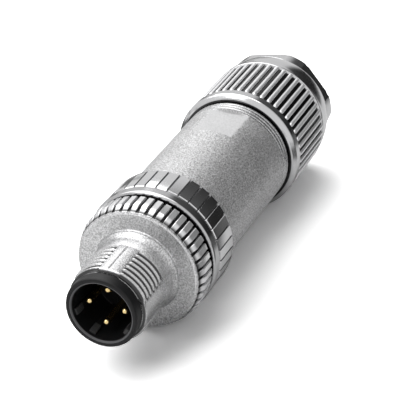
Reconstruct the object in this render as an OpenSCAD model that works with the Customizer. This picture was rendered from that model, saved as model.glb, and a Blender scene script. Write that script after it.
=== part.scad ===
// Shielded round M12 connector with a free-turning threaded coupling nut,
// four pins, a screw-terminal block, a screwed-on metal sleeve and a cable gland.
// Millimetres. The axis runs along X: mating end towards -X, cable end towards +X.
// The origin is on the axis where the coupling thread meets the neck.

/* [Thread end] */
// outside diameter of the coupling thread
thread_d = 12; // [11.8:0.1:12.2]
// length of the threaded barrel
thread_len = 6.8; // [5.8:0.2:9]
// length of the smooth neck behind the thread
neck_len = 3.2; // [2.6:0.2:4]
// how far the black insert stands in front of the barrel
insert_proud = 1.9; // [0.9:0.1:2.4]
// depth of the socket around the pins
socket_depth = 8; // [6:0.5:9]
// diameter of a contact pin
pin_d = 1; // [0.8:0.1:1.1]
// circle on which the pins stand
pin_circle_d = 5.4; // [5:0.1:5.6]
// how far the pin tips sit below the rim
pin_below_rim = 1.7; // [1:0.1:2.5]

/* [Coupling nut] */
// diameter over the nut's teeth
nut_d = 19.6; // [18.8:0.2:20.4]
// length of the toothed rim
nut_len = 4.4; // [4:0.2:6]
// number of teeth
nut_teeth = 46; // [36:2:52]
// depth of the grooves between the teeth
tooth_depth = 0.55; // [0.3:0.05:0.7]

/* [Front housing ring] */
// outside diameter of the ring
ring_d = 20; // [19.4:0.2:20.6]
// length of its smooth front band
ring_band = 1.9; // [1.5:0.1:3]
// length of its faceted band
ring_grip = 5.15; // [4.8:0.05:7]
// number of facets
ring_facets = 36; // [24:2:40]

/* [Body sleeve] */
// outside diameter of the sleeve
sleeve_d = 17.9; // [17.8:0.1:18.3]
// length of the sleeve between the ring and the gland nut
sleeve_len = 25.3; // [22:0.5:32]
// width of the wrench flat
flat_w = 6.2; // [4:0.1:7]
// length of the wrench flat
flat_len = 7.6; // [5:0.2:10]

/* [Gland nut] */
// diameter over the gland nut's ribs
gland_d = 20.2; // [19.8:0.1:20.8]
// length of its ribbed and plain cylinder
gland_len = 13.3; // [13:0.1:16]
// length of the tapered band behind the ribs
taper_len = 3.5; // [2.5:0.5:5]
// length of the wrench end
wrench_len = 2.7; // [2:0.1:4]
// width across the wrench flats
across_flats = 17.6; // [17:0.1:18.4]
// number of ribs
gland_ribs = 48; // [36:2:54]
// diameter of the cable bore
cable_bore_d = 9; // [7:0.5:9.5]

/* [Terminals] */
// length of a wire clamp
clamp_len = 9.6; // [8:0.2:10]
// diameter of a clamp's wire hole
wire_hole_d = 2; // [1.4:0.1:2]

/* [Node] */
// which piece to show

/* [Hidden] */
$fn = 96;

metal = [0.75, 0.75, 0.76];
polished = [0.82, 0.82, 0.83];
black = [0.05, 0.05, 0.05];
gold = [0.85, 0.68, 0.35];
grey = [0.35, 0.36, 0.37];
brass = [0.75, 0.6, 0.3];

// stations along the axis
x_barrel = -thread_len;
x_rim = x_barrel - insert_proud;
x_floor = x_rim + socket_depth;
x_face = neck_len;
x_teeth_end = x_face + nut_len;
x_ring = x_teeth_end + 0.35;
x_grip = x_ring + ring_band;
x_ring_end = x_grip + ring_grip;
x_sleeve = x_ring_end + 0.3;
x_sleeve_end = x_sleeve + sleeve_len;
x_gland = x_sleeve_end + 0.3;
x_cyl_end = x_gland + gland_len;
x_taper_end = x_cyl_end + taper_len;
x_end = x_taper_end + wrench_len;

// radii
r_thread = thread_d / 2;
r_tube = 4.95;
r_tube_bore = r_tube + 0.07;
r_rim = 5.4;
r_socket = 4.5;
r_nut = nut_d / 2;
r_nut_root = r_nut - tooth_depth;
r_shoulder = 6.3;
r_neck_bore = 5.6;
r_ring = ring_d / 2;
r_ring_thread = 8;
r_spigot = r_ring_thread - 0.07;
r_sleeve = sleeve_d / 2;
r_sleeve_bore = 7.25;
r_sleeve_thread = 8.5;
r_gland = gland_d / 2;
r_band = r_gland - 0.04;
r_gland_root = r_gland - 0.4;
r_gland_thread = r_sleeve_thread + 0.07;
r_cable = cable_bore_d / 2;
r_pin = pin_d / 2;
pin_slack = 0.03;
pin_at = pin_circle_d / 2;
// turn of the pins away from the upright cross
pin_turn = 4;

// turn of the wrench end, so that one flat faces up to the side
hex_turn = 20;

// inner stations
x_shoulder = x_face + 2.3;
x_wall_end = x_ring + 2.05;
x_carrier_end = x_ring + 4.25;
x_clamp = x_carrier_end + 1;
x_clamp_end = x_clamp + clamp_len;
x_pocket_end = x_clamp_end + 0.2;
x_block_end = x_pocket_end + 4.2;
x_screw = x_clamp + 5.5;
x_seal_seat = x_ring_end - 1.2;
x_spigot = x_carrier_end - 0.1;
x_step = x_sleeve_end - 6.4;
x_step_end = x_step + 1;
x_thread_end = x_gland + 8.8;
x_cage = x_step_end + 2.8;
x_cage_end = x_thread_end + 3;
x_washer = x_cage_end + 0.6;
x_washer_end = x_washer + 0.8;
x_gland_floor = x_washer_end + 0.1;

clamp_w = 2.4;
clamp_in = 1.6;
clamp_out = 5.2;
r_block = 6.8;

// a profile of [radius, station] points turned about the X axis
module turn(points) {
    rotate([0, 90, 0])
        rotate_extrude()
            polygon(points);
}

// a plain rod along X
module rod(r, x1, x2) {
    translate([x1, 0, 0])
        rotate([0, 90, 0])
            cylinder(r = r, h = x2 - x1);
}

// a ring of straight teeth along X: flat tops at r_top, flat roots at r_root
module toothed(n, r_top, r_root, x1, x2, top_part, root_part) {
    step = 360 / n;
    points = [for (i = [0 : n - 1], k = [0 : 3])
        let (r = k < 2 ? r_top : r_root)
        let (off = k == 0 ? -top_part / 2 : k == 1 ? top_part / 2
            : k == 2 ? 0.5 - root_part / 2 : 0.5 + root_part / 2)
        let (a = (i + 0.5 + off) * step)
        [r * cos(a), r * sin(a)]];
    translate([x1, 0, 0])
        rotate([0, 90, 0])
            linear_extrude(height = x2 - x1)
                polygon(points);
}

// places a child at pin or clamp number i
module at_place(i) {
    rotate([pin_turn + 90 * (i - 1), 0, 0])
        children();
}

module coupling_nut() {
    color(metal) {
        difference() {
            turn([[r_tube_bore, x_barrel + 0.3], [r_tube_bore + 0.2, x_barrel],
                [r_thread - 0.6, x_barrel], [r_thread, x_barrel + 0.6],
                [r_thread, 0], [r_thread - 0.2, 0.3], [r_thread - 0.2, x_face - 1.4],
                [r_thread, x_face - 0.9], [r_thread + 0.3, x_face - 0.55],
                [r_thread + 0.4, x_face - 0.4], [r_thread + 0.4, x_face - 0.2],
                [r_thread + 0.55, x_face], [r_nut_root - 0.15, x_face],
                [r_nut_root, x_face + 0.15], [r_nut_root, x_teeth_end - 0.2],
                [r_nut_root - 0.2, x_teeth_end], [r_shoulder + 0.4, x_teeth_end],
                [r_shoulder + 0.4, x_shoulder - 0.3], [r_tube_bore, x_shoulder - 0.3]]);
            for (s = [0, 180])
                rotate([s, 0, 0])
                    translate([x_barrel - 1, -3, r_thread - 0.2])
                        cube([thread_len + 1, 6, 2]);
        }
        intersection() {
            toothed(nut_teeth, r_nut, r_nut_root - 0.1, x_face, x_teeth_end, 0.52, 0.26);
            turn([[r_nut_root - 1, x_face], [r_nut_root - 0.15, x_face],
                [r_nut - 0.1, x_face + 0.55], [r_nut + 0.1, x_face + 0.85],
                [r_nut + 0.1, x_teeth_end - 0.45], [r_nut_root - 0.05, x_teeth_end],
                [r_nut_root - 1, x_teeth_end]]);
        }
    }
}

module contact_carrier() {
    color(black) {
        difference() {
            turn([[0, x_floor], [r_socket, x_floor], [r_socket, x_rim + 0.35],
                [r_socket + 0.15, x_rim], [r_rim - 0.2, x_rim], [r_rim, x_rim + 0.2],
                [r_rim, x_barrel - 0.25], [r_tube, x_barrel - 0.25],
                [r_tube, x_shoulder], [r_shoulder, x_shoulder],
                [r_shoulder, x_ring], [r_neck_bore - 0.1, x_ring],
                [r_neck_bore - 0.1, x_wall_end], [r_neck_bore - 0.6, x_wall_end],
                [r_neck_bore - 0.6, x_wall_end + 0.9],
                [r_neck_bore - 0.1, x_wall_end + 0.9],
                [r_neck_bore - 0.1, x_carrier_end], [0, x_carrier_end]]);
            for (i = [1 : 4])
                at_place(i)
                    translate([0, pin_at, 0]) {
                        rod(r_pin + pin_slack, x_floor - 1, x_carrier_end + 1);
                        rod(r_pin + 0.4, x_carrier_end - 1, x_carrier_end + 1);
                    }
        }
        // coding rib and two small moulded wedges on the socket wall
        intersection() {
            rotate([218, 0, 0])
                translate([x_rim + 1, r_socket - 0.55, -0.45])
                    cube([socket_depth - 0.8, 1, 0.9]);
            rod(r_socket + 0.1, x_rim, x_floor + 0.2);
        }
        for (a = [343, 294])
            intersection() {
                rotate([a, 0, 0])
                    translate([x_rim + 2, r_socket - 0.3, -0.35])
                        cube([socket_depth - 1.8, 1, 0.7]);
                rod(r_socket + 0.1, x_rim, x_floor + 0.2);
            }
    }
}

module pin(i) {
    color(gold)
        at_place(i)
            translate([0, pin_at, 0]) {
                rod(r_pin, x_rim + pin_below_rim + r_pin, x_clamp + 2.4);
                translate([x_rim + pin_below_rim + r_pin, 0, 0])
                    sphere(r = r_pin);
                rod(r_pin + 0.35, x_carrier_end - 0.95, x_carrier_end - 0.05);
            }
}

module pin_1() {
    pin(1);
}

module pin_2() {
    pin(2);
}

module pin_3() {
    pin(3);
}

module pin_4() {
    pin(4);
}

module terminal_block() {
    color(grey)
        difference() {
            turn([[0, x_carrier_end], [r_block, x_carrier_end],
                [r_block, x_block_end - 0.4], [r_block - 0.4, x_block_end],
                [0, x_block_end]]);
            for (i = [1 : 4])
                at_place(i) {
                    translate([x_carrier_end - 1, clamp_in - 0.05, -clamp_w / 2 - 0.05])
                        cube([x_pocket_end - x_carrier_end + 1,
                            clamp_out - clamp_in + 0.1, clamp_w + 0.1]);
                    translate([0, 3.2, 0]) {
                        rod(wire_hole_d / 2 + 0.2, x_pocket_end - 1, x_block_end + 1);
                        turn([[0, x_block_end - 1], [wire_hole_d / 2 + 0.2, x_block_end - 1],
                            [wire_hole_d / 2 + 0.6, x_block_end + 0.01],
                            [0, x_block_end + 0.01]]);
                    }
                    translate([x_screw, 4, 0])
                        rotate([-90, 0, 0])
                            cylinder(r = 1.45, h = 4);
                }
        }
}

module clamp(i) {
    color(brass)
        at_place(i)
            difference() {
                translate([x_clamp, clamp_in, -clamp_w / 2])
                    cube([clamp_len, clamp_out - clamp_in, clamp_w]);
                translate([0, pin_at, 0])
                    rod(r_pin + pin_slack, x_clamp - 1, x_clamp + 2.5);
                translate([0, 2.85, 0])
                    rod(wire_hole_d / 2, x_clamp + 3.2, x_clamp_end + 1);
                translate([x_screw, 3, 0])
                    rotate([-90, 0, 0])
                        cylinder(r = 0.95, h = 4);
            }
}

module clamp_1() {
    clamp(1);
}

module clamp_2() {
    clamp(2);
}

module clamp_3() {
    clamp(3);
}

module clamp_4() {
    clamp(4);
}

module clamp_screw(i) {
    color(metal)
        at_place(i)
            translate([x_screw, 0, 0])
                rotate([-90, 0, 0])
                    difference() {
                        union() {
                            translate([0, 0, 3.6])
                                cylinder(r = 0.92, h = 1.9);
                            translate([0, 0, 5.25])
                                cylinder(r = 1.35, h = 0.95);
                        }
                        translate([-2, -0.2, 5.75])
                            cube([4, 0.4, 1]);
                    }
}

module clamp_screw_1() {
    clamp_screw(1);
}

module clamp_screw_2() {
    clamp_screw(2);
}

module clamp_screw_3() {
    clamp_screw(3);
}

module clamp_screw_4() {
    clamp_screw(4);
}

// split ring in the carrier's groove behind the front ring's wall
module retaining_ring() {
    color(metal)
        difference() {
            turn([[r_neck_bore - 0.57, x_wall_end + 0.05], [7.2, x_wall_end + 0.05],
                [7.2, x_wall_end + 0.85], [r_neck_bore - 0.57, x_wall_end + 0.85]]);
            translate([x_wall_end - 1, -0.8, 3])
                cube([3, 1.6, 6]);
        }
}

module front_ring() {
    color(polished) {
        turn([[r_neck_bore, x_ring], [r_ring - 0.75, x_ring], [r_ring - 0.3, x_ring + 0.15],
            [r_ring - 0.06, x_ring + 0.5], [r_ring, x_ring + 0.9],
            [r_ring - 0.06, x_grip - 0.4], [r_ring - 0.3, x_grip - 0.08],
            [r_ring - 0.35, x_grip], [r_ring - 0.35, x_ring_end - 0.3],
            [r_ring - 0.65, x_ring_end], [r_ring_thread + 1, x_ring_end],
            [r_ring_thread + 1, x_seal_seat], [r_ring_thread, x_seal_seat],
            [r_ring_thread, x_wall_end], [r_neck_bore, x_wall_end]]);
        intersection() {
            toothed(ring_facets, r_ring - 0.02, r_ring - 0.45, x_grip, x_ring_end, 0.74, 0.08);
            turn([[r_ring - 0.7, x_grip], [r_ring - 0.2, x_grip], [r_ring + 0.1, x_grip + 0.4],
                [r_ring + 0.1, x_ring_end - 0.5], [r_ring - 0.4, x_ring_end - 0.05],
                [r_ring - 0.7, x_ring_end - 0.05]]);
        }
    }
}

module sleeve_seal() {
    color(black)
        rotate([0, 90, 0])
            translate([0, 0, x_ring_end - 0.6])
                rotate_extrude()
                    translate([8.47, 0])
                        circle(r = 0.48);
}

module body_sleeve() {
    color(metal)
        difference() {
            turn([[r_sleeve_bore, x_spigot + 0.3], [r_sleeve_bore + 0.3, x_spigot],
                [r_spigot - 0.2, x_spigot], [r_spigot, x_spigot + 0.2],
                [r_spigot, x_sleeve], [r_sleeve - 0.25, x_sleeve],
                [r_sleeve, x_sleeve + 0.25], [r_sleeve, x_sleeve_end - 2.3],
                [r_sleeve - 0.35, x_sleeve_end - 2.1], [r_sleeve - 0.35, x_sleeve_end - 1.9],
                [r_sleeve - 0.05, x_sleeve_end - 1.7], [r_sleeve - 0.05, x_sleeve_end - 1.5],
                [r_sleeve - 0.35, x_sleeve_end - 1.3], [r_sleeve - 0.35, x_sleeve_end - 1.1],
                [r_sleeve - 0.05, x_sleeve_end - 0.9], [r_sleeve - 0.05, x_sleeve_end - 0.7],
                [r_sleeve - 0.35, x_sleeve_end - 0.5], [r_sleeve_thread, x_sleeve_end - 0.2],
                [r_sleeve_thread, x_thread_end - 0.5], [r_sleeve_thread - 0.5, x_thread_end],
                [r_sleeve_bore, x_thread_end], [r_sleeve_bore, x_step_end],
                [r_sleeve_bore - 1.05, x_step_end], [r_sleeve_bore - 1.05, x_step],
                [r_sleeve_bore, x_step]]);
            // wrench flats on opposite sides
            for (s = [0, 180])
                rotate([s, 0, 0])
                    translate([x_sleeve_end - 2.3 - flat_len, -6,
                        sqrt(r_sleeve * r_sleeve - flat_w * flat_w / 4)])
                        cube([flat_len, 12, 3]);
        }
}

module shield_ring() {
    color(polished)
        turn([[4.8, x_step_end + 2.2], [5.6, x_step_end + 0.05], [7.15, x_step_end + 0.05],
            [7.15, x_step_end + 2.6], [5.4, x_step_end + 2.6], [5.1, x_step_end + 2.75],
            [4.8, x_step_end + 2.75]]);
}

module clamping_cage() {
    color(grey)
        difference() {
            turn([[5.75, x_cage], [7.18, x_cage], [7.18, x_thread_end - 0.3],
                [6.9, x_thread_end], [6, x_cage_end - 0.3], [5.8, x_cage_end],
                [5.2, x_cage_end], [5.2, x_cage_end - 1], [5.75, x_cage_end - 1.4]]);
            for (i = [0 : 3])
                rotate([45 * i, 0, 0])
                    translate([x_cage + 3, -9, -0.4])
                        cube([x_cage_end - x_cage, 18, 0.8]);
        }
}

module cable_seal() {
    color(black)
        turn([[4.3, x_cage + 0.2], [5.68, x_cage + 0.2], [5.68, x_cage_end - 1.6],
            [4.3, x_cage_end - 1.6], [4, x_cage_end - 2.6], [4.3, x_cage_end - 3.6],
            [4, x_cage_end - 4.6], [4.3, x_cage_end - 5.6], [4, x_cage_end - 6.6],
            [4.3, x_cage_end - 7.6]]);
}

module thrust_washer() {
    color(grey)
        turn([[4.75, x_washer], [6.4, x_washer], [6.4, x_washer_end], [4.75, x_washer_end]]);
}

module gland_nut() {
    color(polished) {
        difference() {
            union() {
                turn([[r_gland_thread, x_gland], [r_gland - 0.7, x_gland],
                    [r_gland - 0.3, x_gland + 0.3], [r_band - 0.05, x_gland + 0.8],
                    [r_band, x_gland + 1.3], [r_band, x_gland + 2.2],
                    [r_gland_root, x_gland + 2.4], [r_gland_root, x_cyl_end - 0.5],
                    [r_band, x_cyl_end - 0.3], [r_band, x_cyl_end],
                    [r_band - 0.06, x_cyl_end + 0.8], [r_gland - 0.22, x_cyl_end + 1.8],
                    [r_gland - 0.5, x_taper_end], [r_cable + 1, x_taper_end],
                    [r_cable + 1, x_gland_floor], [6.7, x_gland_floor],
                    [6.7, x_cage_end + 0.3], [7.6, x_thread_end + 0.4],
                    [r_gland_thread, x_thread_end + 0.4]]);
                intersection() {
                    rotate([0, 90, 0])
                        rotate([0, 0, hex_turn])
                            cylinder(r = across_flats / 2 / cos(30), h = x_end, $fn = 6);
                    turn([[0, x_taper_end - 0.5], [r_gland - 0.6, x_taper_end - 0.5],
                        [r_gland - 0.6, x_taper_end + 0.3], [r_gland - 1.2, x_end - 0.5],
                        [r_gland - 1.9, x_end], [0, x_end]]);
                }
            }
            rod(r_cable, x_washer, x_end + 1);
            turn([[0, x_end - 0.8], [r_cable, x_end - 0.8], [r_cable + 0.8, x_end + 0.01],
                [0, x_end + 0.01]]);
        }
        intersection() {
            toothed(gland_ribs, r_gland, r_gland_root - 0.1, x_gland + 2.1, x_cyl_end - 0.2,
                0.5, 0.3);
            turn([[r_gland_root - 0.4, x_gland + 2.1], [r_gland + 0.1, x_gland + 2.1],
                [r_gland + 0.1, x_cyl_end - 0.2], [r_gland_root - 0.4, x_cyl_end - 0.2]]);
        }
    }
}

coupling_nut();
contact_carrier();
pin_1();
pin_2();
pin_3();
pin_4();
terminal_block();
clamp_1();
clamp_2();
clamp_3();
clamp_4();
clamp_screw_1();
clamp_screw_2();
clamp_screw_3();
clamp_screw_4();
retaining_ring();
front_ring();
sleeve_seal();
body_sleeve();
shield_ring();
clamping_cage();
cable_seal();
thrust_washer();
gland_nut();
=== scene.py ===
import math

import bmesh
import bpy
from bpy.props import FloatProperty, FloatVectorProperty, IntProperty, PointerProperty
from mathutils import Matrix, Vector


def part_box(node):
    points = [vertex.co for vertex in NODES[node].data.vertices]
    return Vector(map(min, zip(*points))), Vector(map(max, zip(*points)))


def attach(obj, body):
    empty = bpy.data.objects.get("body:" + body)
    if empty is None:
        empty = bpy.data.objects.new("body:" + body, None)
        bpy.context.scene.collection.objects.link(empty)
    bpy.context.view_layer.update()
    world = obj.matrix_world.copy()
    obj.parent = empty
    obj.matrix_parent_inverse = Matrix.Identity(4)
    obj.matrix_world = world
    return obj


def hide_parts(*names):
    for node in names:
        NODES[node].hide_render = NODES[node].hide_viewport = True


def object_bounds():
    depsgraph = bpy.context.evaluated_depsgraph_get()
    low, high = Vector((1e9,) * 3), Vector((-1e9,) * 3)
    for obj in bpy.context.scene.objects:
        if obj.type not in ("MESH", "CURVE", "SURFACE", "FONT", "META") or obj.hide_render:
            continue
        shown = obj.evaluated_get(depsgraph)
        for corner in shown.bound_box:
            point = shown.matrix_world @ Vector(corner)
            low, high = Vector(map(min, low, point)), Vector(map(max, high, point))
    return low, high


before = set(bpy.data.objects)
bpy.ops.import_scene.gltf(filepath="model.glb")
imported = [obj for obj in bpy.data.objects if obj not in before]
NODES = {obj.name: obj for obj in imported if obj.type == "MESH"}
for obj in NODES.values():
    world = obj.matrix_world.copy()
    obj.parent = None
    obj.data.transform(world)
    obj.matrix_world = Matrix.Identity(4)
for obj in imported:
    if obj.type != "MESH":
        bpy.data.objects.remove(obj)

bl_info = {
    "name": "M12 connector",
    "version": (1, 0, 0),
    "blender": (4, 5, 0),
    "location": "3D View > Sidebar > M12 connector",
    "description": "Builds the shielded round connector's visible pieces, finishes and stage",
    "category": "Object",
}

CAD_BOX = [list(corner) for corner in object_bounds()]
MM = 0.001
TO_MM = 1000.0
FULL_TURN = 2 * math.pi


def span(node):
    """First and last station of a CAD node along the connector's axis, in millimetres."""
    low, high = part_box(node)
    return low.x / MM, high.x / MM


def radius_of(node):
    """Largest distance of a CAD node's points from the axis, in millimetres."""
    return max(math.hypot(v.co.y, v.co.z) for v in NODES[node].data.vertices) / MM


BARREL_X, NUT_END_X = span("coupling_nut")
RIM_X, CARRIER_END_X = span("contact_carrier")
RING_X, RING_END_X = span("front_ring")
SPIGOT_X, SPIGOT_END_X = span("body_sleeve")
GLAND_X, END_X = span("gland_nut")
FACE_X = 3.2  # the disc's front face
SLEEVE_GAP, SLEEVE_LENGTH = 0.3, 25.3
FLOOR_Z = CAD_BOX[0][2]
AIM = Vector((0.026, 0.0, 0.0))  # where the camera and the lamps point, in metres


# ---------------------------------------------------------------- mesh helpers

def linked(name, data):
    """A new object of the scene for a mesh, a lamp or a camera."""
    item = bpy.data.objects.new(name, data)
    bpy.context.scene.collection.objects.link(item)
    return item


def shaded_object(name, bm, sharp):
    """Turns a bmesh in millimetres into a smooth object, creased above an angle."""
    bmesh.ops.recalc_face_normals(bm, faces=bm.faces)
    for face in bm.faces:
        face.smooth = True
    for edge in bm.edges:
        if len(edge.link_faces) == 2 and edge.calc_face_angle() > math.radians(sharp):
            edge.smooth = False
    for vert in bm.verts:
        vert.co *= MM
    mesh = bpy.data.meshes.new(name)
    bm.to_mesh(mesh)
    bm.free()
    return linked(name, mesh)


def paint(mesh, finish):
    """Gives a whole mesh one finish."""
    mesh.materials.clear()
    mesh.materials.append(finish_for(finish))


def settle(piece, body, node, finish):
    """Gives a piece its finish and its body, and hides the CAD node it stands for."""
    paint(piece.data, finish)
    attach(piece, body)
    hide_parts(node)


def finish_piece(name, bm, body, node, finish, sharp=28.0):
    """Cleans a bmesh and turns it into a piece that rides on a body."""
    bmesh.ops.remove_doubles(bm, verts=bm.verts, dist=1e-4)
    bmesh.ops.dissolve_degenerate(bm, dist=1e-4, edges=bm.edges)
    settle(shaded_object(name, bm, sharp), body, node, finish)


def around(x, r, turn):
    """Point at a station, a radius and a turn from the top towards -Y, in millimetres."""
    return Vector((x, -r * math.sin(turn), r * math.cos(turn)))


def apart(turn, middle, period=FULL_TURN):
    """Signed turn from the nearest of the middles that repeat after a period."""
    return (turn - middle + period / 2) % period - period / 2


def limited(value):
    """A value kept between 0 and 1."""
    return min(1.0, max(0.0, value))


def turned(bm, profile, segments, rule=None, centre=Vector()):
    """Adds a closed profile of (station, radius) points turned about the axis.

    rule(index, turn, radius) may give a point another radius, and centre moves the
    result away from the axis.
    """
    rings = []
    for k in range(segments):
        turn = FULL_TURN * k / segments
        rings.append([bm.verts.new(around(x, rule(i, turn, r) if rule else r, turn) + centre)
                      for i, (x, r) in enumerate(profile)])
    for one, two in zip(rings, rings[1:] + rings[:1]):
        join(bm, one, two)


def join(bm, one, two):
    """Adds the faces between two closed rows of points."""
    for i in range(len(one)):
        j = (i + 1) % len(one)
        bm.faces.new((one[i], one[j], two[j], two[i]))


def lofted(bm, sections):
    """Adds a solid through closed sections, which are lists of points."""
    rows = [[bm.verts.new(point) for point in section] for section in sections]
    for one, two in zip(rows, rows[1:]):
        join(bm, one, two)
    bm.faces.new(rows[0])
    bm.faces.new(list(reversed(rows[-1])))


def rounded(profile, picks):
    """Replaces chosen corners of a profile by short arcs: picks maps index to radius."""
    out = []
    count = len(profile)
    for i, point in enumerate(profile):
        r = picks.get(i)
        if not r:
            out.append(point)
            continue
        here = Vector(point)
        before = (Vector(profile[i - 1]) - here).normalized()
        after = (Vector(profile[(i + 1) % count]) - here).normalized()
        a, b = here + before * r, here + after * r
        for s in (0.0, 0.25, 0.5, 0.75, 1.0):
            p = a * (1 - s) ** 2 + here * 2 * s * (1 - s) + b * s * s
            out.append((p.x, p.y))
    return out


# ---------------------------------------------------------------- nodes

class Value:
    """A node socket that takes part in Python arithmetic by adding Math nodes."""

    def __init__(self, tree, socket):
        self.tree, self.socket = tree, socket

    def math(self, operation, other, swap=False):
        """Adds a Math node with this socket and another socket or number."""
        node = self.tree.nodes.new("ShaderNodeMath")
        node.operation = operation
        for i, term in enumerate((other, self) if swap else (self, other)):
            if isinstance(term, Value):
                self.tree.links.new(term.socket, node.inputs[i])
            else:
                node.inputs[i].default_value = term
        return Value(self.tree, node.outputs[0])

    def __add__(self, other):
        return self.math("ADD", other)

    __radd__ = __add__

    def __sub__(self, other):
        return self.math("SUBTRACT", other)

    def __rsub__(self, other):
        return self.math("SUBTRACT", other, swap=True)

    def __mul__(self, other):
        return self.math("MULTIPLY", other)

    __rmul__ = __mul__

    def __truediv__(self, other):
        return self.math("DIVIDE", other)

    def __rtruediv__(self, other):
        return self.math("DIVIDE", other, swap=True)

    def power(self, other):
        """This value to a power."""
        return self.math("POWER", other)

    def high(self, other):
        """The higher of two values."""
        return self.math("MAXIMUM", other)


class Graph:
    """A node tree and the few ways in which nodes are added to it."""

    def __init__(self, tree):
        self.tree = tree

    def node(self, kind, settings=None, **sockets):
        """Adds a node: its settings first, then the values or links of its sockets."""
        node = self.tree.nodes.new(kind)
        for key, value in (settings or {}).items():
            setattr(node, key, value)
        for key, value in sockets.items():
            self.feed(node.inputs[key.replace("_", " ")], value)
        return node

    def feed(self, target, value):
        """Sets a socket from a number, a colour, a socket or a Value."""
        if isinstance(value, Value):
            value = value.socket
        if isinstance(value, bpy.types.NodeSocket):
            self.tree.links.new(value, target)
        elif isinstance(value, tuple) and len(value) == 3 and target.type == "RGBA":
            target.default_value = (*value, 1.0)
        else:
            target.default_value = value

    def value(self, socket):
        """A socket as a value for arithmetic."""
        return Value(self.tree, socket)

    def parts(self, vector):
        """The three values of a vector."""
        way = self.node("ShaderNodeSeparateXYZ", Vector=vector)
        return [self.value(socket) for socket in way.outputs]

    def ramp(self, value, low, high):
        """Smooth step of a value from 0 at low to 1 at high."""
        node = self.node("ShaderNodeMapRange", {"interpolation_type": "SMOOTHSTEP"},
                         Value=value, From_Min=low, From_Max=high)
        return self.value(node.outputs[0])

    def blend(self, factor, one, two):
        """Colour between two colours by a value."""
        node = self.node("ShaderNodeMix", {"data_type": "RGBA", "clamp_factor": True})
        colours = [s for s in node.inputs if s.type == "RGBA"]
        self.feed(colours[0], one)
        self.feed(colours[1], two)
        self.feed(node.inputs[0], factor)
        return [s for s in node.outputs if s.type == "RGBA"][0]


# ---------------------------------------------------------------- geometry nodes

def ring_of_copies_tree():
    """Node tree that repeats a geometry around the axis and gives it a finish."""
    tree = bpy.data.node_groups.new("Copies around the axis", "GeometryNodeTree")
    given = {}
    for name, kind in (("Geometry", "Geometry"), ("Count", "Int"), ("First turn", "Float"),
                       ("Finish", "Material")):
        given[name] = tree.interface.new_socket(name, in_out="INPUT",
                                                socket_type="NodeSocket" + kind)
    given["Count"].default_value, given["Count"].min_value = 4, 1
    given["First turn"].subtype = "ANGLE"
    tree.interface.new_socket("Geometry", in_out="OUTPUT", socket_type="NodeSocketGeometry")
    g = Graph(tree)
    source = g.node("NodeGroupInput").outputs
    points = g.node("GeometryNodePoints", Count=source["Count"])
    index = g.value(g.node("GeometryNodeInputIndex").outputs[0])
    turn = index / g.value(source["Count"]) * FULL_TURN + g.value(source["First turn"])
    rotation = g.node("ShaderNodeCombineXYZ", X=turn)
    copies = g.node("GeometryNodeInstanceOnPoints", Points=points.outputs[0],
                    Instance=source["Geometry"], Rotation=rotation.outputs[0])
    real = g.node("GeometryNodeRealizeInstances", Geometry=copies.outputs[0])
    paint = g.node("GeometryNodeSetMaterial", Geometry=real.outputs[0],
                   Material=source["Finish"])
    g.node("NodeGroupOutput", Geometry=paint.outputs[0])
    return tree


def copies_around(name, bm, count, body, node, finish, sharp):
    """Repeats one small part around the axis and keeps the result as a plain mesh."""
    seed = shaded_object(name + "_seed", bm, sharp)
    tree = bpy.data.node_groups.get("Copies around the axis") or ring_of_copies_tree()
    modifier = seed.modifiers.new("Copies", "NODES")
    modifier.node_group = tree
    values = {"Count": count, "First turn": math.pi / count, "Finish": finish_for(finish)}
    for item in tree.interface.items_tree:
        if item.item_type == "SOCKET" and item.in_out == "INPUT" and item.name in values:
            modifier[item.identifier] = values[item.name]
    graph = bpy.context.evaluated_depsgraph_get()
    result = bpy.data.meshes.new_from_object(seed.evaluated_get(graph))
    result.name = name
    one = seed.data
    seed.modifiers.clear()
    bpy.data.objects.remove(seed)
    bpy.data.meshes.remove(one)
    settle(linked(name, result), body, node, finish)


# ---------------------------------------------------------------- materials

def tint(colour, factor):
    """A colour made darker or lighter."""
    return tuple(min(1.0, c * factor) for c in colour)


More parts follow.
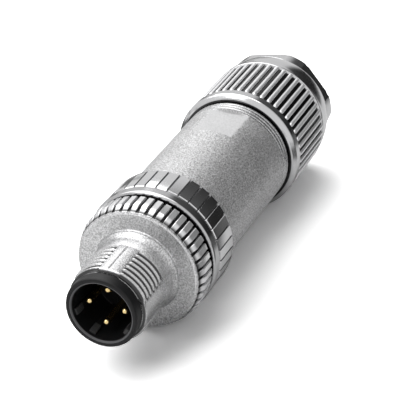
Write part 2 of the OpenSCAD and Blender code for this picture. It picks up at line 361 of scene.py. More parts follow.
class Finish(Graph):
    """A material with one Principled shader."""

    def __init__(self, name, **sockets):
        self.material = bpy.data.materials.new(name)
        self.material.use_nodes = True
        super().__init__(self.material.node_tree)
        self.shader = self.tree.nodes["Principled BSDF"]
        for key, value in sockets.items():
            self.feed(self.shader.inputs[key.replace("_", " ")], value)
        self.place = self.node("ShaderNodeTexCoord").outputs["Object"]

    def places(self):
        """Position along X, Y and Z in millimetres."""
        return [value * TO_MM for value in self.parts(self.place)]

    def between(self, x, low, high, soft=0.05):
        """1 between two stations, with soft ends inside them."""
        return self.ramp(x, low, low + soft) * (1.0 - self.ramp(x, high - soft, high))

    def zone(self, r_low, r_high, x_low, x_high):
        """1 below a distance from the axis and between two stations, in millimetres."""
        x, y, z = self.places()
        near = 1.0 - self.ramp((y * y + z * z).power(0.5), r_low, r_high)
        return near * self.between(x, x_low, x_high)

    def flat_zone(self, half_width, x_low, x_high):
        """1 within a half width of the middle plane and between two stations, in mm."""
        x, y, _ = self.places()
        near = 1.0 - self.ramp((y * y).power(0.5), half_width, half_width + 0.06)
        return near * self.between(x, x_low, x_high)

    def shaded(self, surface, zones, tone):
        """A colour that takes another tone inside some zones: painted shade or a painted
        highlight.
        """
        for zone in zones:
            surface = self.blend(self.zone(*zone), surface, tone)
        return surface

    def noise(self, per_mm, detail=2.0, rough=0.5, stretch=None):
        """Noise in 0..1 whose features are about 1/per_mm millimetres wide."""
        where = self.place
        if stretch:
            where = self.node("ShaderNodeMapping", Vector=where, Scale=stretch).outputs[0]
        node = self.node("ShaderNodeTexNoise", {"noise_dimensions": "3D"}, Vector=where,
                         Scale=per_mm * TO_MM, Detail=detail, Roughness=rough)
        return self.value(node.outputs["Fac"])

    def use(self, socket, value):
        """Feeds a value or a colour to the shader."""
        self.feed(self.shader.inputs[socket], value)

    def bump(self, height, strength, depth_mm):
        """Lets a height stand out of the surface by some hundredths of a millimetre."""
        node = self.node("ShaderNodeBump", Height=height, Strength=strength,
                         Distance=depth_mm * MM)
        self.use("Normal", node.outputs[0])


def cast_finish(name, colour, rough, grain, shade_zones=(), flat=None, metal=0.85):
    """Fine-grained plated die casting: speckled, satin, with painted shade darkening its
    recesses.

    flat is the half width and the two stations of milled flats, which are smoother.
    """
    f = Finish(name, Metallic=metal)
    speck = f.noise(4.6, 2.0, 0.65)
    coarse = f.noise(1.1, 2.0, 0.5)
    if flat:
        calm = 1.0 - f.flat_zone(*flat) * 0.8
        speck = (speck - 0.5) * calm + 0.5
        coarse = (coarse - 0.5) * calm + 0.5
    patch = f.noise(0.12, 2.0, 0.5)
    tone = (speck - 0.5) * 3.6 + (coarse - 0.5) * 0.3 + (patch - 0.5) * 0.3 + 0.5
    surface = f.blend(tone, tint(colour, 1 - 0.36 * grain), tint(colour, 1 + 0.24 * grain))
    # Painted shade: inside the shade zones, the grooves and gaps where shade falls, the colour
    # drops to a tenth.
    f.use("Base Color", f.shaded(surface, shade_zones, tint(colour, 0.1)))
    f.use("Roughness", (speck - 0.5) * 0.25 + (patch - 0.5) * 0.12 + rough)
    f.bump(speck * 0.85 + coarse * 0.15, 0.9 * min(grain, 1.0), 0.07)
    return f.material


def plated_finish(name, colour, rough, lines=0.25, shade_zones=(), shade_tone=0.1, metal=1.0):
    """Polished plating with turning lines and faint haze, with painted shade darkening its
    recesses.
    """
    f = Finish(name, Metallic=metal)
    turning = f.noise(1.0, 3.0, 0.6, stretch=(9.0, 0.35, 0.35))
    haze = f.noise(0.35, 3.0, 0.55)
    pores = f.noise(4.0, 1.0, 0.5)
    tone = (haze - 0.5) * 0.9 + (turning - 0.5) * 0.3 + 0.5
    surface = f.blend(tone, tint(colour, 0.93), colour)
    # Painted shade: inside the shade zones, the grooves and gaps where shade falls, the colour
    # drops to the shade tone.
    f.use("Base Color", f.shaded(surface, shade_zones, tint(colour, shade_tone)))
    f.use("Roughness", (haze - 0.5) * 0.12 + (turning - 0.5) * 0.08 + (pores - 0.5) * 0.04
          + rough)
    f.bump(turning * 0.8 + pores * 0.2, lines, 0.01)
    return f.material


def moulded_finish(name, colour, rough, highlight_zones=()):
    """Moulded plastic with a fine spark-eroded grain, with a painted highlight that makes
    given edge zones lighter.
    """
    f = Finish(name, Specular_IOR_Level=0.22)
    grain = f.noise(6.0, 2.0, 0.6)
    flow = f.noise(0.4, 2.0, 0.5)
    light = tuple(c * 1.5 + 0.004 for c in colour)
    surface = f.blend((flow - 0.5) * 0.8 + (grain - 0.5) * 0.5 + 0.4, colour, light)
    # Painted highlight: inside the highlight zones, edges that would catch the light, the
    # colour turns light grey.
    f.use("Base Color", f.shaded(surface, highlight_zones, (0.13, 0.13, 0.135)))
    f.use("Roughness", (grain - 0.5) * 0.2 + (flow - 0.5) * 0.1 + rough)
    f.bump(grain, 0.25, 0.02)
    return f.material


def build_finishes(scene):
    """All materials of the connector, by the name used in the operators.

    Painted shade in the recesses, and the insert's painted highlight, are given as zones
    (painted below, clear above, from station, to station).
    """
    finish, sleeve = scene.m12_finish, scene.m12_sleeve
    rear_x = sleeve_span()[1]
    cast = tuple(finish.cast_colour)
    plated = tuple(finish.plated_colour)
    shine = finish.plated_roughness
    # Painted shade between the teeth and under the pads.
    tooth_gap_shade = (9.35, 9.6, FACE_X + 0.25, RING_X)
    pad_gap_shade = (9.5, 9.78, RING_X - 0.1, RING_END_X + 0.1)
    ribbed = (GLAND_X + 2.15, GLAND_X + 12.9)
    return {
        # Painted shade on the disc between the teeth.
        "disc": cast_finish("Die-cast disc", cast, 0.33, 1.2,
                            [(9.6, 9.75, FACE_X + 0.25, RING_X)]),
        "sleeve": cast_finish("Die-cast sleeve", tint(cast, 0.96), 0.46, 1.5, metal=0.62,
                              flat=(sleeve.flat_width / 2, *flat_span(sleeve))),
        # Painted shade in the thread's roots.
        "thread": cast_finish("Die-cast thread", cast, 0.24, 0.45,
                              [(5.66, 5.81, BARREL_X, 0.0)]),
        # Painted shade in the ring grooves and in the gap before the gland nut.
        "rings": cast_finish("Die-cast ring lines", cast, 0.28, 0.6,
                             [(8.62, 8.86, rear_x - 2.6, rear_x + 0.3)]),
        "teeth": plated_finish("Plated teeth", tint(plated, 1.15), shine,
                               shade_zones=[tooth_gap_shade], metal=0.6),
        "ring": plated_finish("Polished pads", tint(plated, 0.88), shine * 0.75,
                              shade_zones=[pad_gap_shade]),
        # Painted shade: the band is a darker copy of the ring's plating, and it has painted
        # shade under the pads.
        "band": plated_finish("Polished band with painted shade", tint(plated, 0.66), shine,
                              shade_zones=[pad_gap_shade]),
        # Painted shade on the front face in the gap behind the sleeve, and between the ribs.
        "gland": plated_finish("Polished gland nut", tint(plated, 0.8), shine,
                               shade_zones=[(9.25, 9.4, GLAND_X - 0.1, GLAND_X + 0.5),
                                         (9.74, 9.98, *ribbed)]),
        # Painted highlight: the ribs are a lighter, less metallic copy of the gland nut's
        # plating, with painted shade at their feet.
        "ribs": plated_finish("Polished ribs with painted highlight", tint(plated, 1.25), shine,
                              shade_zones=[(9.76, 9.94, *ribbed)], metal=0.5),
        # Painted highlight along the inner edge of the socket's rim.
        "black": moulded_finish("Black insert plastic", tuple(finish.insert_colour), 0.42,
                                [(4.74, 4.78, RIM_X - 0.1, RIM_X + 0.28)]),
        # Painted highlight: the keys are a lighter copy of the black insert plastic.
        "keys": moulded_finish("Insert keys with painted highlight", (0.045, 0.045, 0.046), 0.3),
        "grey": moulded_finish("Grey plastic", (0.16, 0.165, 0.17), 0.5),
        "rubber": moulded_finish("Seal rubber", (0.02, 0.02, 0.021), 0.62),
        "gold": plated_finish("Gold-plated pin", tuple(finish.pin_colour), 0.2, 0.15),
        "brass": plated_finish("Turned brass", (0.62, 0.44, 0.2), 0.3, 0.4),
        "steel": plated_finish("Bright steel", (0.58, 0.58, 0.59), 0.28, 0.4),
    }


FINISHES = {}


def finish_for(key):
    """A material by its short name; all are made on first use."""
    if not FINISHES:
        FINISHES.update(build_finishes(bpy.context.scene))
    return FINISHES[key]


# ---------------------------------------------------------------- settings

class NutSettings(bpy.types.PropertyGroup):
    """Sizes of the coupling nut."""

    pitch: FloatProperty(
        name="Thread pitch", default=1.0, min=0.5, max=1.5,
        description="Pitch of the coupling thread in millimetres")
    crest: FloatProperty(
        name="Thread crest radius", default=6.0, min=5.5, max=6.0,
        description="Outside radius of the thread in millimetres")
    root: FloatProperty(
        name="Thread root radius", default=5.42, min=5.2, max=5.8,
        description="Radius at the thread's root in millimetres")
    teeth: IntProperty(
        name="Teeth", default=46, min=24, max=60, description="Number of teeth around the rim")
    tooth_share: FloatProperty(
        name="Tooth share", default=0.62, min=0.3, max=0.8, subtype="FACTOR",
        description="Share of the rim that the teeth take")


class RingSettings(bpy.types.PropertyGroup):
    """Sizes of the front ring."""

    facets: IntProperty(
        name="Facets", default=36, min=16, max=48,
        description="Number of flat pads around the ring")
    band: FloatProperty(
        name="Smooth band", default=1.9, min=1.0, max=3.0,
        description="Length of the smooth band in millimetres")
    seam: FloatProperty(
        name="Seam width", default=0.2, min=0.05, max=0.4,
        description="Width of the line between pads in millimetres")


class SleeveSettings(bpy.types.PropertyGroup):
    """Sizes of the body sleeve."""

    radius: FloatProperty(
        name="Radius", default=8.95, min=8.5, max=9.2,
        description="Outside radius in millimetres")
    flat_width: FloatProperty(
        name="Wrench flat width", default=6.2, min=3.0, max=8.0,
        description="Width in millimetres")
    flat_length: FloatProperty(
        name="Wrench flat length", default=7.6, min=4.0, max=10.0,
        description="Length in millimetres")


class GlandSettings(bpy.types.PropertyGroup):
    """Sizes of the gland nut."""

    ribs: IntProperty(
        name="Ribs", default=48, min=24, max=60, description="Number of ribs around the nut")
    rib_share: FloatProperty(
        name="Rib share", default=0.56, min=0.3, max=0.8, subtype="FACTOR",
        description="Share of the band that the ribs take")
    across_flats: FloatProperty(
        name="Across flats", default=17.6, min=16.5, max=18.5,
        description="Wrench size at the rear in millimetres")
    flat_turn: FloatProperty(
        name="Flat turn", default=math.radians(50), subtype="ANGLE",
        description="Turn of one flat from the top")


class FinishSettings(bpy.types.PropertyGroup):
    """Colours and roughness of the finishes."""

    cast_colour: FloatVectorProperty(
        name="Die casting", subtype="COLOR", size=3, default=(0.56, 0.56, 0.565), min=0, max=1,
        description="Colour of the satin metal")
    plated_colour: FloatVectorProperty(
        name="Plating", subtype="COLOR", size=3, default=(0.72, 0.72, 0.73), min=0, max=1,
        description="Colour of the polished metal")
    plated_roughness: FloatProperty(
        name="Plating roughness", default=0.16, min=0.02, max=0.6, subtype="FACTOR",
        description="Roughness of the polished metal")
    insert_colour: FloatVectorProperty(
        name="Insert", subtype="COLOR", size=3, default=(0.005, 0.005, 0.0055), min=0, max=1,
        description="Colour of the black insert")
    pin_colour: FloatVectorProperty(
        name="Pins", subtype="COLOR", size=3, default=(0.86, 0.66, 0.32), min=0, max=1,
        description="Colour of the gold pins")


class StageSettings(bpy.types.PropertyGroup):
    """Floor, lights and camera."""

    floor_colour: FloatVectorProperty(
        name="Floor", subtype="COLOR", size=3, default=(0.86, 0.86, 0.865), min=0, max=1,
        description="Colour of the floor")
    floor_lift: FloatProperty(
        name="Floor to the camera", default=1.75, min=0.5, max=3,
        description="Floor's reflectance as seen directly")
    floor_mirror: FloatProperty(
        name="Floor in metal", default=0.8, min=0.2, max=2,
        description="Floor's reflectance in reflections")
    front_card: FloatProperty(
        name="Front card", default=1.05, min=0.2, max=2,
        description="Reflectance of the card before the disc")
    fill: FloatProperty(
        name="Fill", default=0.26, min=0, max=2,
        description="Level of the even light from all round")
    open_level: FloatProperty(
        name="Open side", default=0.9, min=0, max=3,
        description="Level of the bright half in metal")
    front_level: FloatProperty(
        name="Front", default=1.0, min=0, max=3, description="Level before the disc in metal")
    dim_top: FloatProperty(
        name="Dim side overhead", default=0.13, min=0, max=2,
        description="Extra level overhead in the dim half")
    dim_low: FloatProperty(
        name="Dim side", default=0.025, min=0, max=2,
        description="Level at the horizon in the dim half")
    front_share: FloatProperty(
        name="Front share", default=0.2, min=0, max=2, subtype="FACTOR",
        description="Front softbox's share of the key power")
    key_power: FloatProperty(
        name="Key power", default=2.1, min=0, max=20, unit="POWER",
        description="Power of the main softbox in watts")
    lens: FloatProperty(
        name="Lens", default=153.0, min=50, max=250, unit="CAMERA",
        description="Focal length in millimetres")
    swing: FloatProperty(
        name="Swing", default=math.radians(22.745), subtype="ANGLE",
        description="Turn of the view away from the axis")
    rise: FloatProperty(
        name="Rise", default=math.radians(29.777), subtype="ANGLE",
        description="Height of the view above the floor's plane")
    reach: FloatProperty(
        name="Reach", default=0.257849, min=0.1, max=1.0, unit="LENGTH",
        description="Distance from the camera to the aim")


# ---------------------------------------------------------------- operators

class M12_OT_coupling_nut(bpy.types.Operator):
    """Build the threaded barrel, the disc and the toothed rim of the coupling nut"""

    bl_idname = "m12.coupling_nut"
    bl_label = "Coupling nut"

    def execute(self, context):
        s = context.scene.m12_nut
        bore = 5.03
        recess_r, recess_x = 6.7, 5.2
        neck = s.crest - 0.16
        outer = radius_of("coupling_nut")
        root = outer - 0.55
        self.thread(s, bore)
        bm = bmesh.new()
        turned(bm, rounded([
            (-0.25, bore), (-0.25, s.crest - 0.35), (0.15, neck), (FACE_X - 1.5, neck),
            (FACE_X - 0.95, s.crest), (FACE_X - 0.6, s.crest + 0.28),
            (FACE_X - 0.42, s.crest + 0.4), (FACE_X - 0.2, s.crest + 0.42),
            (FACE_X, s.crest + 0.55), (FACE_X, root - 0.3), (FACE_X + 0.12, root - 0.08),
            (FACE_X + 0.12, root), (NUT_END_X - 0.2, root), (NUT_END_X, root - 0.2),
            (NUT_END_X, recess_r), (recess_x, recess_r), (recess_x, bore)],
            {9: 0.08, 12: 0.08, 7: 0.08}), 240)
        finish_piece("nut_disc", bm, "coupling", "coupling_nut", "disc")
        self.rim(root)
        self.teeth(s, root, outer)
        return {"FINISHED"}

    @staticmethod
    def thread(s, bore):
        """Helical ridges between smooth zones, on a grid that follows the helix."""
        segments = 320
        start, stop = BARREL_X, 0.0
        # Middle, half width and fade of each smooth zone, in degrees.
        zones = [[math.radians(a) for a in zone] for zone in (
            (4, 15, 3), (91, 17, 12), (184, 15, 3), (271, 17, 12))]
        seam_turn, seam_half, seam_height = math.radians(1), math.radians(0.9), 0.05
        # One ridge: share of the pitch, share of the height.
        shape = [(0.0, 0.0), (0.16, 0.0), (0.26, 0.2), (0.46, 0.9), (0.53, 1.0), (0.6, 1.0),
                 (0.67, 0.9), (0.87, 0.2)]
        turns = math.ceil((stop - start) / s.pitch) + 2

        def radius(turn, share, x):
            """Radius at a turn and a station, from the ridge's share of its height."""
            share *= limited((x - start) / 0.75) * limited((stop - x) / 0.5 + 0.25)
            ridge = s.root + (s.crest - s.root) * share
            smooth = min(s.root + 0.42, s.root + 0.1 + 0.5 * max(0.0, (x - start) / 0.6))
            weight = 1.0
            for middle, half, fade in zones:
                step = limited((abs(apart(turn, middle)) - half) / fade)
                weight = min(weight, step * step * (3 - 2 * step))
            r = ridge * weight + smooth * (1 - weight)
            on_seam = abs(apart(turn, seam_turn, math.pi)) < seam_half
            return r + seam_height if on_seam else r

        bm = bmesh.new()
        rings = []
        for k in range(segments):
            turn = FULL_TURN * k / segments
            points = [(start, bore), (start, s.root - 0.12)]
            for j in range(-1, turns):
                for at, share in shape:
                    x = start + (j + at + turn / FULL_TURN) * s.pitch
                    x = min(stop, max(start + 0.12, x))
                    points.append((x, radius(turn, share, x)))
            points.append((stop, bore))
            rings.append([bm.verts.new(around(x, r, turn)) for x, r in points])
        count = len(rings[0])
        last = count - 2
        for k, one in enumerate(rings):
            two = rings[(k + 1) % segments]
            for i in range(count):
                j = (i + 1) % count
                far_i, far_j = i, j
                # Where the last ring meets the first one, the helix is a pitch further on.
                if k == segments - 1 and 2 <= i < last:
                    far_i, far_j = (min(n + len(shape), last) for n in (i, j))
                corners = list(dict.fromkeys((one[i], one[j], two[far_j], two[far_i])))
                if len(corners) > 2:
                    bm.faces.new(corners)
        finish_piece("nut_thread", bm, "coupling", "coupling_nut", "thread",
                     sharp=40.0)

    @staticmethod
    def rim(root):
        """The bright bevel between the disc's face and its teeth."""
        bm = bmesh.new()
        top, low = root - 0.05, root - 0.34
        turned(bm, [(FACE_X - 0.02, low), (FACE_X + 0.14, top), (FACE_X + 0.3, top),
                    (FACE_X + 0.3, low)], 240)
        finish_piece("nut_rim", bm, "coupling", "coupling_nut", "teeth")

    @staticmethod
    def teeth(s, root, outer):
        """One bevelled tooth, repeated around the rim."""
        bm = bmesh.new()
        half = math.pi * outer / s.teeth * s.tooth_share
        low = root - 0.25
        lofted(bm, [[(x, -a, b) for a, b in (
            (-w - 0.1, low), (-w - 0.02, top - 0.06), (-w + 0.05, top), (w - 0.05, top),
            (w + 0.02, top - 0.06), (w + 0.1, low))] for x, top, w in (
                (FACE_X + 0.1, root - 0.1, half * 0.93),
                (FACE_X + 0.4, root + 0.12, half * 0.95),
                (FACE_X + 1.4, outer - 0.03, half), (FACE_X + 1.55, outer - 0.005, half),
                (NUT_END_X - 0.6, outer - 0.005, half), (NUT_END_X - 0.45, outer - 0.05, half),
                (NUT_END_X - 0.05, root - 0.02, half * 0.95))])
        copies_around("nut_teeth", bm, s.teeth, "coupling", "coupling_nut", "teeth",
                      sharp=20.0)


class M12_OT_insert(bpy.types.Operator):
    """Build the black insert with its socket, and finish the pins"""

    bl_idname = "m12.insert"
    bl_label = "Insert and pins"

    def execute(self, context):
        rim, socket, inner = 5.4, 4.5, 5.5
        floor_x = RIM_X + 8.0
        barrel_r, collar_r, groove_r, centre_r = 4.95, 6.3, 5.0, 0.02
        collar_x = 5.5
        groove_x, groove_end_x = RING_X + 2.05, RING_X + 2.95
        bm = bmesh.new()
        turned(bm, rounded([
            (floor_x, centre_r), (floor_x, socket), (RIM_X + 0.3, socket),
            (RIM_X + 0.05, socket + 0.16), (RIM_X, rim - 0.28), (RIM_X + 0.05, rim - 0.1),
            (RIM_X + 0.25, rim), (BARREL_X - 0.25, rim), (BARREL_X - 0.25, barrel_r),
            (collar_x, barrel_r), (collar_x, collar_r), (RING_X, collar_r), (RING_X, inner),
            (groove_x, inner), (groove_x, groove_r), (groove_end_x, groove_r),
            (groove_end_x, inner), (CARRIER_END_X, inner), (CARRIER_END_X, centre_r)],
            {4: 0.06, 6: 0.08, 1: 0.2}), 192)
        coding, wedges = 128, (204, 253)
        self.rib(bm, coding, 0.9, 0.55, socket, RIM_X + 1.0, floor_x + 0.1)
        for turn in wedges:
            self.rib(bm, turn, 0.7, 0.3, socket, RIM_X + 2.0, floor_x + 0.1)
        self.floor_marks(bm, floor_x)
        finish_piece("insert_shell", bm, "insert", "contact_carrier", "black")
        # The keys' front parts are laid over the ribs in the lighter plastic, a painted
        # highlight.
        bm = bmesh.new()
        for turn, high in ((coding, 0.6), *((turn, 0.4) for turn in wedges)):
            self.rib(bm, turn, 0.96, high, socket, RIM_X + 0.8, RIM_X + 2.6)
        finish_piece("insert_keys", bm, "insert", "contact_carrier", "keys")
        for i in range(1, 5):
            dress("pin_%d" % i, "gold")
        return {"FINISHED"}

    @staticmethod
    def rib(bm, degrees, wide, high, socket, x1, x2):
        """A straight rib on the socket's wall, at a turn from the top."""
        turning = Matrix.Rotation(math.radians(degrees), 3, "X")
        half, wall = wide / 2, socket + 0.15
        sections = []
        for x, inset in ((x1, high * 0.75), (x1 + 0.3, high), (x2, high)):
            low = socket - inset
            sections.append([turning @ Vector((x, -a, b)) for a, b in (
                (-half, wall), (-half, low + 0.05), (-half + 0.06, low), (half - 0.06, low),
                (half, low + 0.05), (half, wall))])
        lofted(bm, sections)

    @staticmethod
    def floor_marks(bm, floor_x):
        """A collar around each pin and a raised cross between them."""
        pin_circle_r, bar = 2.7, (1.1, 0.12)
        under = floor_x + 0.05
        for i in range(4):
            turned(bm, [(under, 1.05), (floor_x - 0.3, 1.0), (floor_x - 0.35, 0.95),
                        (floor_x - 0.35, 0.52), (under, 0.52)], 32,
                   centre=around(0.0, pin_circle_r, math.radians(4 + 90 * i)))
        for a, b in (bar, bar[::-1]):
            lofted(bm, [[(x, p, q) for p, q in ((-a, -b), (a, -b), (a, b), (-a, b))]
                        for x in (under, floor_x - 0.4)])


class M12_OT_front_ring(bpy.types.Operator):
    """Build the polished ring with its smooth band and its pads"""

    bl_idname = "m12.front_ring"
    bl_label = "Front ring"

    def execute(self, context):
        s = context.scene.m12_ring
        outer = radius_of("front_ring")
        grip_x = RING_X + s.band
        bed = outer - 0.3
        face = outer - 0.01
        inner, pocket, seal_r = 5.62, 8.0, 9.02
        pocket_x, seal_x = RING_X + 2.05, RING_END_X - 1.2
        bm = bmesh.new()
        turned(bm, rounded([
            (RING_X, inner), (RING_X, outer - 0.42), (RING_X + 0.05, outer - 0.2),
            (RING_X + 0.18, outer - 0.06), (RING_X + 0.36, face), (RING_X + 0.5, face),
            (grip_x - 0.46, face), (grip_x - 0.32, face), (grip_x - 0.12, outer - 0.12),
            (grip_x, bed - 0.06), (grip_x + 0.1, bed), (RING_END_X - 0.3, bed),
            (RING_END_X, bed - 0.35), (RING_END_X, seal_r), (seal_x, seal_r),
            (seal_x, pocket), (pocket_x, pocket), (pocket_x, inner)],
            {1: 0.06, 2: 0.08, 3: 0.08, 4: 0.08, 7: 0.08, 8: 0.08}), 216)
        finish_piece("ring_band", bm, "insert", "front_ring", "band")
        self.pads(s, outer, bed, grip_x)
        return {"FINISHED"}

    @staticmethod
    def pads(s, outer, bed, grip_x):
        """One flat pad with bevelled ends, repeated around the ring."""
        bm = bmesh.new()
        top = (outer - 0.03) * math.cos(math.pi / s.facets)
        w = (outer - 0.02) * math.sin(math.pi / s.facets) - s.seam / 2
        base = bed - 0.35
        # The points climb a little from one to the next where the pad's end is under its bed.
        lofted(bm, [[(x, -a, max(b, base + 0.01 * k)) for k, (a, b) in enumerate(
            ((-w - 0.05, base), (-w, h - 0.07), (-w + 0.05, h), (w - 0.05, h), (w, h - 0.07),
             (w + 0.05, base)))] for x, h in (
                (grip_x + 0.02, bed - 0.2), (grip_x + 0.1, top - 0.12),
                (grip_x + 0.25, top - 0.02), (grip_x + 0.4, top), (RING_END_X - 0.4, top),
                (RING_END_X - 0.22, top - 0.04), (RING_END_X - 0.06, top - 0.16),
                (RING_END_X - 0.01, bed - 0.3))])
        copies_around("ring_pads", bm, s.facets, "insert", "front_ring", "ring",
                      sharp=16.0)


def sleeve_span():
    """Stations of the sleeve's cylinder, between the front ring and the gland nut."""
    front = RING_END_X + SLEEVE_GAP
    return front, front + SLEEVE_LENGTH


def flat_span(s):
    """Stations of the wrench flats, which end just before the rear rings."""
    end = sleeve_span()[1] - 2.3
    return end - s.flat_length, end


class M12_OT_sleeve(bpy.types.Operator):
    """Build the body sleeve with its wrench flats and rear rings"""

    bl_idname = "m12.sleeve"
    bl_label = "Body sleeve"

    def execute(self, context):
        s = context.scene.m12_sleeve
        r = s.radius
        front_x, rear_x = sleeve_span()
        flat_start, flat_end = flat_span(s)
        bore, step_r, stop_r = 7.25, 7.93, 6.2
        stop_x, stop_end_x = rear_x - 6.4, rear_x - 5.4
        depth = math.sqrt(r * r - (s.flat_width / 2) ** 2)
        profile = [(SPIGOT_X + 0.3, bore), (SPIGOT_X, 7.55), (SPIGOT_X, 7.73),
                   (SPIGOT_X + 0.2, step_r), (front_x, step_r), (front_x, r - 0.3),
                   (front_x + 0.08, r - 0.1), (front_x + 0.28, r), (flat_start - 0.02, r)]
        first = len(profile)
        steps = 12
        profile += [(flat_start + (flat_end - 0.1 - flat_start) * k / steps, r)
                    for k in range(steps + 1)]
        last = len(profile)
        joint_x = flat_end + 0.05
        profile += [(joint_x, r), (joint_x, bore), (stop_end_x, bore), (stop_end_x, stop_r),
                    (stop_x, stop_r), (stop_x, bore)]

        def flattened(i, turn, radius):
            """Cuts the two wrench flats into the stations between them."""
            off = apart(turn, 0.0, math.pi)
            if first <= i < last and abs(off) < math.pi / 3:
                return min(radius, depth / math.cos(off))
            return radius

        bm = bmesh.new()
        turned(bm, profile, 288, flattened)
        finish_piece("sleeve_shell", bm, "sleeve", "body_sleeve", "sleeve",
                     sharp=18.0)
        self.rear_rings(r, joint_x, rear_x)
        return {"FINISHED"}

    @staticmethod
    def rear_rings(r, joint_x, rear_x):
        """Fine turned grooves and the threaded spigot behind the flats."""
        bore, groove_step, root, crest = 7.3, 0.72, 8.3, 8.5
        profile = [(joint_x, bore), (joint_x, r)]
        for k in range(3):
            x = rear_x - groove_step * (3 - k)
            profile += [(x, r - 0.01), (x + 0.06, r - 0.1), (x + 0.09, r - 0.34),
                        (x + 0.27, r - 0.34), (x + 0.3, r - 0.1), (x + 0.38, r - 0.01)]
        thread_x = rear_x + 0.7
        profile += [(rear_x - 0.06, r - 0.02), (rear_x, r - 0.12), (rear_x, crest),
                    (thread_x, crest)]
        for k in range(int(SPIGOT_END_X - 0.6 - thread_x)):
            x = thread_x + k
            profile += [(x + 0.2, root), (x + 0.5, root), (x + 0.7, crest),
                        (x + 0.98, crest)]
        profile += [(SPIGOT_END_X - 0.5, crest), (SPIGOT_END_X, crest - 0.5),
                    (SPIGOT_END_X, bore)]
        bm = bmesh.new()
        turned(bm, profile, 240)
        finish_piece("sleeve_rings", bm, "sleeve", "body_sleeve", "rings",
                     sharp=18.0)


class M12_OT_gland_nut(bpy.types.Operator):
    """Build the gland nut with its ribs, its taper and its wrench flats"""

    bl_idname = "m12.gland_nut"
    bl_label = "Gland nut"

    def execute(self, context):
        s = context.scene.m12_gland
        outer = radius_of("gland_nut")
        band, bed = outer - 0.03, outer - 0.38
        ribs_x, ribs_end_x = GLAND_X + 2.1, GLAND_X + 13.3
        taper_x, taper_end_x = ribs_end_x + 0.1, ribs_end_x + 3.5
        thread_r, thread_end_x = 8.57, GLAND_X + 9.2
        cable_r, seat_r = 4.5, 6.7
        reach = s.across_flats / 2
        corner = reach / math.cos(math.radians(21))
        profile = [(GLAND_X, thread_r)]
        profile += [(GLAND_X + x, band - drop) for x, drop in (
            (0.0, 0.72), (0.1, 0.5), (0.32, 0.28), (0.4, 0.2), (0.56, 0.06), (0.72, 0.0),
            (0.82, 0.0))]
        profile += [(ribs_x - 0.12, band), (ribs_x, band - 0.05), (ribs_x + 0.12, bed),
                    (ribs_end_x - 0.4, bed), (ribs_end_x - 0.3, band - 0.1),
                    (ribs_end_x - 0.22, band - 0.03), (ribs_end_x - 0.05, band - 0.02)]
        profile += [(taper_x + x, band - drop) for x, drop in (
            (0.0, 0.06), (0.7, 0.12), (1.6, 0.22), (2.5, 0.38), (3.3, 0.58), (3.4, 0.64),
            (3.48, 0.7))]
        profile += [(taper_end_x + 0.12, corner)]
        first = len(profile)
        profile += [(taper_end_x + 0.16, corner), (END_X - 0.5, corner),
                    (END_X - 0.25, corner - 0.3), (END_X, corner - 0.75)]
        last = len(profile)
        profile += [(END_X, 5.3), (END_X - 0.8, cable_r), (END_X - 6.2, cable_r),
                    (END_X - 6.2, seat_r), (END_X - 7.4, seat_r), (thread_end_x, 7.6),
                    (thread_end_x, thread_r)]

        def flattened(i, turn, radius):
            """Cuts the hexagon into the rear stations."""
            if first <= i < last:
                return min(radius, reach / math.cos(apart(turn, s.flat_turn, math.pi / 3)))
            return radius

        bm = bmesh.new()
        turned(bm, profile, 360, flattened)
        finish_piece("gland_shell", bm, "gland", "gland_nut", "gland", sharp=14.0)
        self.ribs(s, outer, bed, ribs_x + 0.12, ribs_end_x - 0.3)
        return {"FINISHED"}

    @staticmethod
    def ribs(s, outer, bed, x1, x2):
        """One round-topped rib with tapered ends, repeated around the nut."""
        bm = bmesh.new()
        half = math.pi * outer / s.ribs * s.rib_share
        top, low = outer - 0.01, bed - 0.1
        side = ((1.0, 0.28), (0.87, 0.15), (0.6, 0.05), (0.25, 0.0))
        arch = [(-a, b) for a, b in side] + list(reversed(side))
        sections = []
        for x, wide, drop in (
                (x1 - 0.05, 0.45, 0.2), (x1 + 0.08, 0.62, 0.08), (x1 + 0.22, 0.86, 0.02),
                (x1 + 0.42, 1.0, 0.0), (x2 - 0.3, 1.0, 0.0), (x2 - 0.12, 0.95, 0.02),
                (x2 + 0.02, 0.8, 0.12)):
            w, h = half * wide, top - drop
            sections.append([(x, w, low), *((x, -a * w, h - b) for a, b in arch),
                             (x, -w, low)])
        lofted(bm, sections)
        copies_around("gland_ribs", bm, s.ribs, "gland", "gland_nut", "ribs",
                      sharp=40.0)


def dress(node, finish):
    """Gives a CAD node that stays in view its finish."""
    paint(NODES[node].data, finish)


class M12_OT_inner_parts(bpy.types.Operator):
    """Finish the terminals, seals and rings inside the connector"""

    bl_idname = "m12.inner_parts"
    bl_label = "Inner parts"

    def execute(self, context):
        dress("terminal_block", "grey")
        dress("clamping_cage", "grey")
        dress("thrust_washer", "grey")
        dress("retaining_ring", "steel")
        dress("shield_ring", "steel")
        dress("sleeve_seal", "rubber")
        dress("cable_seal", "rubber")
        for i in range(1, 5):
            dress("clamp_%d" % i, "brass")
            dress("clamp_screw_%d" % i, "steel")
        return {"FINISHED"}


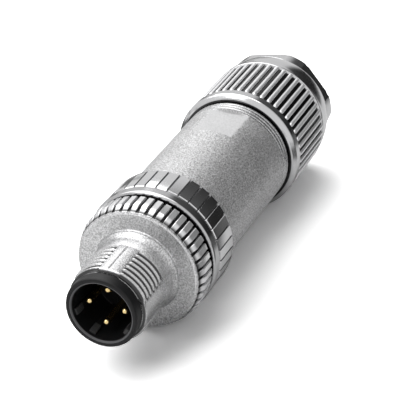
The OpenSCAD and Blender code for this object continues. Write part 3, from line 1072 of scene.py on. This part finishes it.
class M12_OT_stage(bpy.types.Operator):
    """Build the floor, the backdrop, the lights and the camera"""

    bl_idname = "m12.stage"
    bl_label = "Stage"

    def execute(self, context):
        s = context.scene.m12_stage
        scene = context.scene
        scene.view_settings.view_transform = "Standard"
        self.floor(s)
        self.world(s, scene)
        self.softbox("Key softbox", Vector((0.09, 0.18, 0.39)), 0.54, s.key_power)
        self.softbox("Front softbox", Vector((-0.25, 0.16, 0.28)), 0.20,
                     s.key_power * s.front_share)
        self.camera(s, scene)
        return {"FINISHED"}

    @staticmethod
    def floor(s):
        """A plain pale floor that is white far off, with cards that only metal sees."""
        bm = bmesh.new()
        size = 3.0
        bm.faces.new([bm.verts.new((x, y, FLOOR_Z)) for x, y in
                      ((-size, -size), (size, -size), (size, size), (-size, size))])
        mesh = bpy.data.meshes.new("floor")
        bm.to_mesh(mesh)
        bm.free()
        linked("floor", mesh)
        material = bpy.data.materials.new("Pale floor")
        material.use_nodes = True
        mesh.materials.append(material)
        g = Graph(material.node_tree)
        g.tree.nodes.clear()
        path = g.node("ShaderNodeLightPath")
        seen = g.value(path.outputs["Is Camera Ray"])
        mirrored = g.value(path.outputs["Is Glossy Ray"]).high(
            g.value(path.outputs["Is Transmission Ray"]))
        along, across, _ = g.parts(g.node("ShaderNodeTexCoord").outputs["Object"])
        # Polished metal mirrors a dark strip on each side and a bright card before the disc.
        strip = g.ramp(across, 0.030, 0.042) * (1.0 - g.ramp(across, 0.075, 0.095))
        strip = strip.high(1.0 - g.ramp(across, -0.042, -0.028))
        card = 1.0 - g.ramp(along, -0.014, 0.0)
        metal = g.blend(strip, (s.floor_mirror,) * 3, (s.floor_mirror * 0.2,) * 3)
        metal = g.blend(card, metal, (s.front_card,) * 3)
        colour = g.blend(seen, tuple(s.floor_colour), (s.floor_lift,) * 3)
        paint = g.node("ShaderNodeBsdfDiffuse", Color=g.blend(mirrored, colour, metal))
        far = g.ramp((along * along + across * across).power(0.5), 0.15, 0.35)
        sweep = g.node("ShaderNodeEmission", Color=(1.0, 1.0, 1.0))
        mixed = g.node("ShaderNodeMixShader", Fac=seen * far)
        g.feed(mixed.inputs[1], paint.outputs[0])
        g.feed(mixed.inputs[2], sweep.outputs[0])
        g.node("ShaderNodeOutputMaterial", Surface=mixed.outputs[0])

    @staticmethod
    def world(s, scene):
        """White to the camera; a bright half and a dim half to polished metal."""
        world = scene.world or bpy.data.worlds.new("Studio")
        scene.world = world
        world.use_nodes = True
        g = Graph(world.node_tree)
        g.tree.nodes.clear()
        x, y, z = g.parts(g.node("ShaderNodeTexCoord").outputs["Generated"])
        path = g.node("ShaderNodeLightPath")
        seen = g.value(path.outputs["Is Camera Ray"])
        mirrored = g.value(path.outputs["Is Glossy Ray"])
        # The half towards +Y is bright, the other one dim, and the front is level.
        open_side = g.ramp(y, -0.04, 0.10)
        dim = g.ramp(z, 0.02, 0.85).power(1.3) * s.dim_top + s.dim_low
        glow = open_side * (s.open_level - dim) + dim
        before = 1.0 - g.ramp(x, 0.1, 0.65)
        glow = before * (s.front_level - glow) + glow
        level = mirrored * (glow - s.fill) + s.fill
        level = seen * (1.0 - level) + level
        air = g.node("ShaderNodeBackground", Color=(1.0, 1.0, 1.0), Strength=level)
        g.node("ShaderNodeOutputWorld", Surface=air.outputs[0])

    @staticmethod
    def softbox(name, way, size, power):
        """A square area lamp that stands off the aim and faces it; metres and watts."""
        light = bpy.data.lights.new(name, "AREA")
        light.shape, light.size, light.energy = "SQUARE", size, power
        lamp = linked(name, light)
        lamp.location = AIM + way
        lamp.rotation_euler = (-way).to_track_quat("-Z", "Y").to_euler()

    @staticmethod
    def camera(s, scene):
        """A long lens that looks down on the connector from before its socket."""
        data = bpy.data.cameras.new("Camera")
        data.lens, data.sensor_width = s.lens, 36.0
        data.clip_start, data.clip_end = 0.01, 20.0
        data.shift_x, data.shift_y = 0.0005, -0.0095
        ahead = Vector((math.cos(s.swing) * math.cos(s.rise),
                        math.sin(s.swing) * math.cos(s.rise), -math.sin(s.rise)))
        camera = linked("Camera", data)
        camera.location = AIM - ahead * s.reach
        camera.rotation_euler = ahead.to_track_quat("-Z", "Y").to_euler()
        scene.camera = camera


# ---------------------------------------------------------------- panel and registration

class M12_PT_panel(bpy.types.Panel):
    """Lists the connector's pieces in the sidebar"""

    bl_idname = "M12_PT_panel"
    bl_label = "M12 connector"
    bl_space_type = "VIEW_3D"
    bl_region_type = "UI"
    bl_category = "M12 connector"

    def draw(self, context):
        scene = context.scene
        groups = (("m12_nut", "m12.coupling_nut"), (None, "m12.insert"),
                  ("m12_ring", "m12.front_ring"), ("m12_sleeve", "m12.sleeve"),
                  ("m12_gland", "m12.gland_nut"), (None, "m12.inner_parts"),
                  ("m12_finish", None), ("m12_stage", "m12.stage"))
        for group, operator in groups:
            box = self.layout.box()
            if operator:
                box.operator(operator)
            if group:
                settings = getattr(scene, group)
                for key in settings.__annotations__:
                    box.prop(settings, key)


GROUPS = {"m12_nut": NutSettings, "m12_ring": RingSettings, "m12_sleeve": SleeveSettings,
          "m12_gland": GlandSettings, "m12_finish": FinishSettings,
          "m12_stage": StageSettings}
CLASSES = (*GROUPS.values(), M12_OT_coupling_nut, M12_OT_insert, M12_OT_front_ring,
           M12_OT_sleeve, M12_OT_gland_nut, M12_OT_inner_parts, M12_OT_stage, M12_PT_panel)


def register():
    for cls in CLASSES:
        bpy.utils.register_class(cls)
    for name, group in GROUPS.items():
        setattr(bpy.types.Scene, name, PointerProperty(type=group))


def unregister():
    for name in GROUPS:
        delattr(bpy.types.Scene, name)
    for cls in reversed(CLASSES):
        bpy.utils.unregister_class(cls)


def main():
    register()
    bpy.ops.m12.coupling_nut()
    bpy.ops.m12.insert()
    bpy.ops.m12.front_ring()
    bpy.ops.m12.sleeve()
    bpy.ops.m12.gland_nut()
    bpy.ops.m12.inner_parts()
    bpy.ops.m12.stage()
    bpy.context.view_layer.update()


if __name__ == "__main__":
    main()
